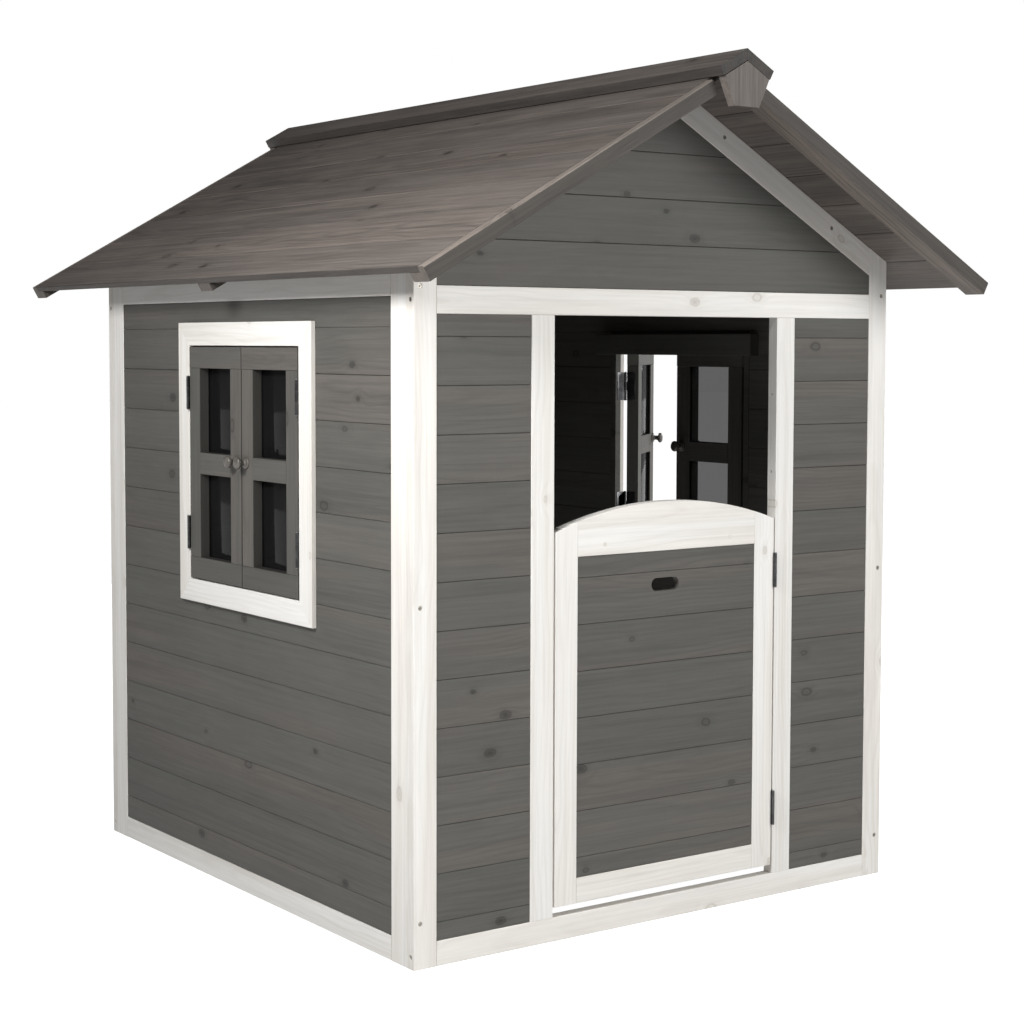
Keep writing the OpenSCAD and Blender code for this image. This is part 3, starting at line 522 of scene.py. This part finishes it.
def lathe(bm, profile, M, segs=64):
    """profile of (radius, height) turned about Z and placed by M."""
    rings = []
    for r, z in profile:
        if r < 1e-7:
            rings.append([bm.verts.new(M @ Vector((0, 0, z)))])
        else:
            rings.append([bm.verts.new(M @ Vector((r*math.cos(2*math.pi*i/segs), r*math.sin(2*math.pi*i/segs), z)))
                          for i in range(segs)])
    for a, b in zip(rings, rings[1:]):
        for i in range(segs):
            j = (i + 1) % segs
            q = [a[i % len(a)], a[j % len(a)], b[j % len(b)], b[i % len(b)]]
            u = []
            for v in q:
                if v not in u:
                    u.append(v)
            if len(u) > 2:
                bm.faces.new(u)


def spline(pts, n=5):
    """Catmull-Rom points through a profile."""
    out = []
    P = [pts[0]] + list(pts) + [pts[-1]]
    for i in range(1, len(P) - 2):
        p0, p1, p2, p3 = P[i - 1], P[i], P[i + 1], P[i + 2]
        for k in range(n):
            t = k/n
            out.append(tuple(0.5*((2*p1[j]) + (-p0[j] + p2[j])*t + (2*p0[j] - 5*p1[j] + 4*p2[j] - p3[j])*t*t
                                  + (-p0[j] + 3*p1[j] - 3*p2[j] + p3[j])*t**3) for j in (0, 1)))
    out.append(pts[-1])
    return out


def islands_of(node):
    bm = bmesh.new()
    bm.from_mesh(NODES[node].data)
    bmesh.ops.remove_doubles(bm, verts=bm.verts, dist=3e-6)
    groups, _ = island_map(bm)
    res = []
    for g in groups:
        res.append([v.co.copy() for v in g])
    bm.free()
    return res


def box_of(pts):
    lo = Vector([min(p[i] for p in pts) for i in range(3)])
    hi = Vector([max(p[i] for p in pts) for i in range(3)])
    return lo, hi


def look(axis_z, origin):
    """Placement whose +Z runs along axis_z."""
    z = Vector(axis_z).normalized()
    x = z.orthogonal().normalized() if abs(z.z) > 0.99 else Vector((0, 0, 1)).cross(z).normalized()
    y = z.cross(x)
    M = Matrix.Identity(4)
    for i, a in enumerate((x, y, z)):
        M[0][i], M[1][i], M[2][i] = a
    M.translation = origin
    return M


def screw_head(bm, M, R, length, turn=0.0):
    """Countersunk screw: +Z into the timber, head's flat face at z = 0, cross recess."""
    M = M @ Matrix.Rotation(turn, 4, "Z")
    segs = 40
    top = [bm.verts.new(M @ Vector((0.96*R*math.cos(2*math.pi*i/segs), 0.96*R*math.sin(2*math.pi*i/segs), 0)))
           for i in range(segs)]
    a, b = 0.10*R, 0.52*R
    plus = [(b, -a), (b, a), (a, a), (a, b), (-a, b), (-a, a), (-b, a), (-b, -a), (-a, -a), (-a, -b), (a, -b), (a, -a)]
    up = [bm.verts.new(M @ Vector((x, y, 0.02*R))) for x, y in plus]
    dn = [bm.verts.new(M @ Vector((x*0.62, y*0.62, 0.42*R))) for x, y in plus]
    n = len(plus)
    for i in range(n):
        j = (i + 1) % n
        bm.faces.new((up[i], up[j], dn[j], dn[i]))
    bm.faces.new(dn)
    # face of the head: fans from the four arms and inner corners to the rim
    outer = [bm.edges.new((top[i], top[(i + 1) % segs])) for i in range(segs)]
    inner = [bm.edges.get((up[i], up[(i + 1) % n])) for i in range(n)]
    bmesh.ops.triangle_fill(bm, use_beauty=True, edges=outer + inner)
    rings = [top]
    for r, z in ((R, 0.10*R), (0.55*R, 0.62*R), (0.52*R, 0.62*R + 0.4*length), (0.50*R, 0.9*length), (0.12*R, length)):
        ring = [bm.verts.new(M @ Vector((r*math.cos(2*math.pi*i/segs), r*math.sin(2*math.pi*i/segs), z)))
                for i in range(segs)]
        for i in range(segs):
            j = (i + 1) % segs
            bm.faces.new((rings[-1][i], rings[-1][j], ring[j], ring[i]))
        rings.append(ring)
    bm.faces.new(rings[-1])


def frame_screws():
    bm = bmesh.new()
    k = 0
    for pts in islands_of("frame_screws"):
        lo, hi = box_of(pts)
        ext = hi - lo
        ax = max(range(3), key=lambda i: ext[i])
        c = (lo + hi)/2
        # the head is the wide end
        near = [p for p in pts if p[ax] < lo[ax] + 0.3*mm]
        far = [p for p in pts if p[ax] > hi[ax] - 0.3*mm]
        wn = max(((p - c) - Vector([(p - c)[i] if i == ax else 0 for i in range(3)])).length for p in near)
        wf = max(((p - c) - Vector([(p - c)[i] if i == ax else 0 for i in range(3)])).length for p in far)
        d = Vector((0, 0, 0))
        o = c.copy()
        if wn > wf:
            d[ax] = 1
            o[ax] = lo[ax]
        else:
            d[ax] = -1
            o[ax] = hi[ax]
        screw_head(bm, look(d, o), max(wn, wf), ext[ax], 0.4 + 1.1*k)
        k += 1
    add("frame_screws_detailed", bm, MAT["screw"], "house", "screw_steel", "frame_screws", smooth_deg=30)


frame_screws()


def hardware(node, mat, slot, edge=0.25*mm):
    """Hinge metalwork: the CAD solids with softened edges."""
    bm = bmesh.new()
    bm.from_mesh(NODES[node].data)
    bmesh.ops.remove_doubles(bm, verts=bm.verts, dist=3e-6)
    bmesh.ops.dissolve_limit(bm, angle_limit=math.radians(0.6), verts=bm.verts, edges=bm.edges)
    groups, tag = island_map(bm)
    edges = []
    for e in bm.edges:
        if len(e.link_faces) == 2 and math.degrees(e.calc_face_angle(0)) > 60 and e.calc_length() > 3*mm:
            edges.append(e)
    if edges:
        bmesh.ops.bevel(bm, geom=edges, offset=edge, offset_type="OFFSET", segments=2, profile=0.5,
                        affect="EDGES", clamp_overlap=False, loop_slide=True)
    return add(node + "_detailed", bm, mat, BODY[node], slot, node)


for n in NODES:
    if SLOT[n] == "hinge_steel":
        hardware(n, MAT["pin"] if n == "hinge_pins" else MAT["hinge"], "hinge_steel")

KNOB = [(11.3, 0.1), (11.5, 0.6), (11.5, 2.0), (10.9, 3.2), (8.8, 4.1), (6.6, 5.0), (5.4, 6.6), (5.0, 8.6),
        (5.2, 10.8), (6.3, 13.2), (8.6, 14.7), (10.7, 16.0), (11.7, 18.2), (11.6, 20.4), (10.5, 22.4),
        (8.2, 23.9), (5.2, 24.7), (2.4, 24.97), (0.0, 25.0)]


def knobs(node):
    parts = islands_of(node)
    bm = bmesh.new()
    R = turn_for(node, Vector())
    for pts in parts:
        P = [R @ p for p in pts]
        lo, hi = box_of(P)
        ext = hi - lo
        if max(ext.y, ext.z) < 10*mm:
            continue              # the through bolt stays inside
        c = (lo + hi)/2
        side = 1 if c.x > 0 else -1
        # outer knob stands away from the house, inner knob towards its middle
        out = abs(hi.x) if side > 0 else abs(lo.x)
        outer = abs(c.x) > abs((box_of([R @ q for s in parts for q in s])[0].x
                                + box_of([R @ q for s in parts for q in s])[1].x)/2)
        d = side if outer else -side
        base = (lo.x if d > 0 else hi.x)
        M = R.transposed().to_4x4() @ look((d, 0, 0), Vector((base, c.y, c.z)))
        prof = [(r*mm, z*mm) for r, z in spline([(0, 0.1), (8, 0.1)] + KNOB, 4)]
        lathe(bm, prof, M, 72)
    add(node + "_detailed", bm, MAT["knob"], BODY[node], "knob", node, smooth_deg=40)


def panes(node):
    bm = bmesh.new()
    bm.from_mesh(NODES[node].data)
    bmesh.ops.remove_doubles(bm, verts=bm.verts, dist=3e-6)
    bmesh.ops.dissolve_limit(bm, angle_limit=math.radians(0.6), verts=bm.verts, edges=bm.edges)
    bmesh.ops.bevel(bm, geom=[e for e in bm.edges], offset=0.3*mm, offset_type="OFFSET", segments=2,
                    profile=0.5, affect="EDGES", clamp_overlap=False)
    add(node + "_detailed", bm, MAT["pane"], BODY[node], "smoke_acrylic", node)


for n in NODES:
    if SLOT[n] == "knob":
        knobs(n)
    elif SLOT[n] == "smoke_acrylic":
        panes(n)


# ---------------------------------------------------------------- stage and light
def floor():
    bm = bmesh.new()
    bmesh.ops.create_grid(bm, x_segments=8, y_segments=8, size=30)
    me = bpy.data.meshes.new("floor")
    bm.to_mesh(me)
    bm.free()
    m, t, p = new_material("floor_pale")
    a = t.noise(t.node("ShaderNodeTexCoord").outputs["Object"], 3, 2.0)
    t.link(t.mix(a, lin((186, 186, 185)), lin((190, 190, 189))), p.inputs["Base Color"])
    p.inputs["Roughness"].default_value = 0.9
    p.inputs["Specular IOR Level"].default_value = 0.1
    p.inputs["Emission Color"].default_value = (1, 1, 1, 1)
    p.inputs["Emission Strength"].default_value = 1.0
    me.materials.append(m)
    o = bpy.data.objects.new("floor", me)
    COL.objects.link(o)
    o.location = (0, 0, -0.0005)
    o.visible_diffuse = False


def world():
    w = bpy.data.worlds.new("studio")
    bpy.context.scene.world = w
    w.use_nodes = True
    t = Tree(w.node_tree)
    bg = w.node_tree.nodes["Background"]
    bg.inputs[0].default_value = (1, 1, 1, 1)
    bg.inputs[1].default_value = 1.0
    dim = t.node("ShaderNodeBackground")
    dim.inputs[0].default_value = (0.985, 0.99, 1.0, 1)
    _, _, z = t.xyz(t.node("ShaderNodeTexCoord").outputs["Generated"])
    t.link(t.rng(z, -0.15, 0.25, 0.36, 0.07), dim.inputs[1])
    lp = t.node("ShaderNodeLightPath")
    mx = t.node("ShaderNodeMixShader")
    t.link(lp.outputs["Is Camera Ray"], mx.inputs[0])
    t.link(dim.outputs[0], mx.inputs[1])
    t.link(bg.outputs[0], mx.inputs[2])
    t.link(mx.outputs[0], w.node_tree.nodes["World Output"].inputs[0])


def area(name, pos, aim, size, power, color=(1, 1, 1)):
    l = bpy.data.lights.new(name, "AREA")
    l.shape = "RECTANGLE"
    l.size, l.size_y = size
    l.energy = power
    l.color = color
    o = bpy.data.objects.new(name, l)
    COL.objects.link(o)
    o.location = pos
    o.rotation_euler = (Vector(aim) - Vector(pos)).to_track_quat("-Z", "Y").to_euler()
    return o


floor()
world()
area("key", (-1.94, -0.31, 1.755), (-0.55, 0.45, 0.95), (0.45, 0.45), 36)
area("front", (2.1, -4.4, 2.45), (0.2, 0.0, 0.70), (3.0, 2.4), 200)
area("top", (-1.35, -0.75, 2.05), (-0.5, 0.0, 1.3), (0.5, 0.5), 7.5)
area("low", (-1.5, -1.0, 0.14), (-0.55, 0.25, 0.08), (0.9, 0.2), 4.6)
area("back", (1.9, 5.0, 0.95), (0.1, 1.3, 0.75), (1.8, 1.3), 85)
area("right", (5.3, 1.4, 2.2), (0.0, 0.6, 0.75), (2.4, 1.8), 80)
bpy.context.scene.view_settings.view_transform = "Standard"
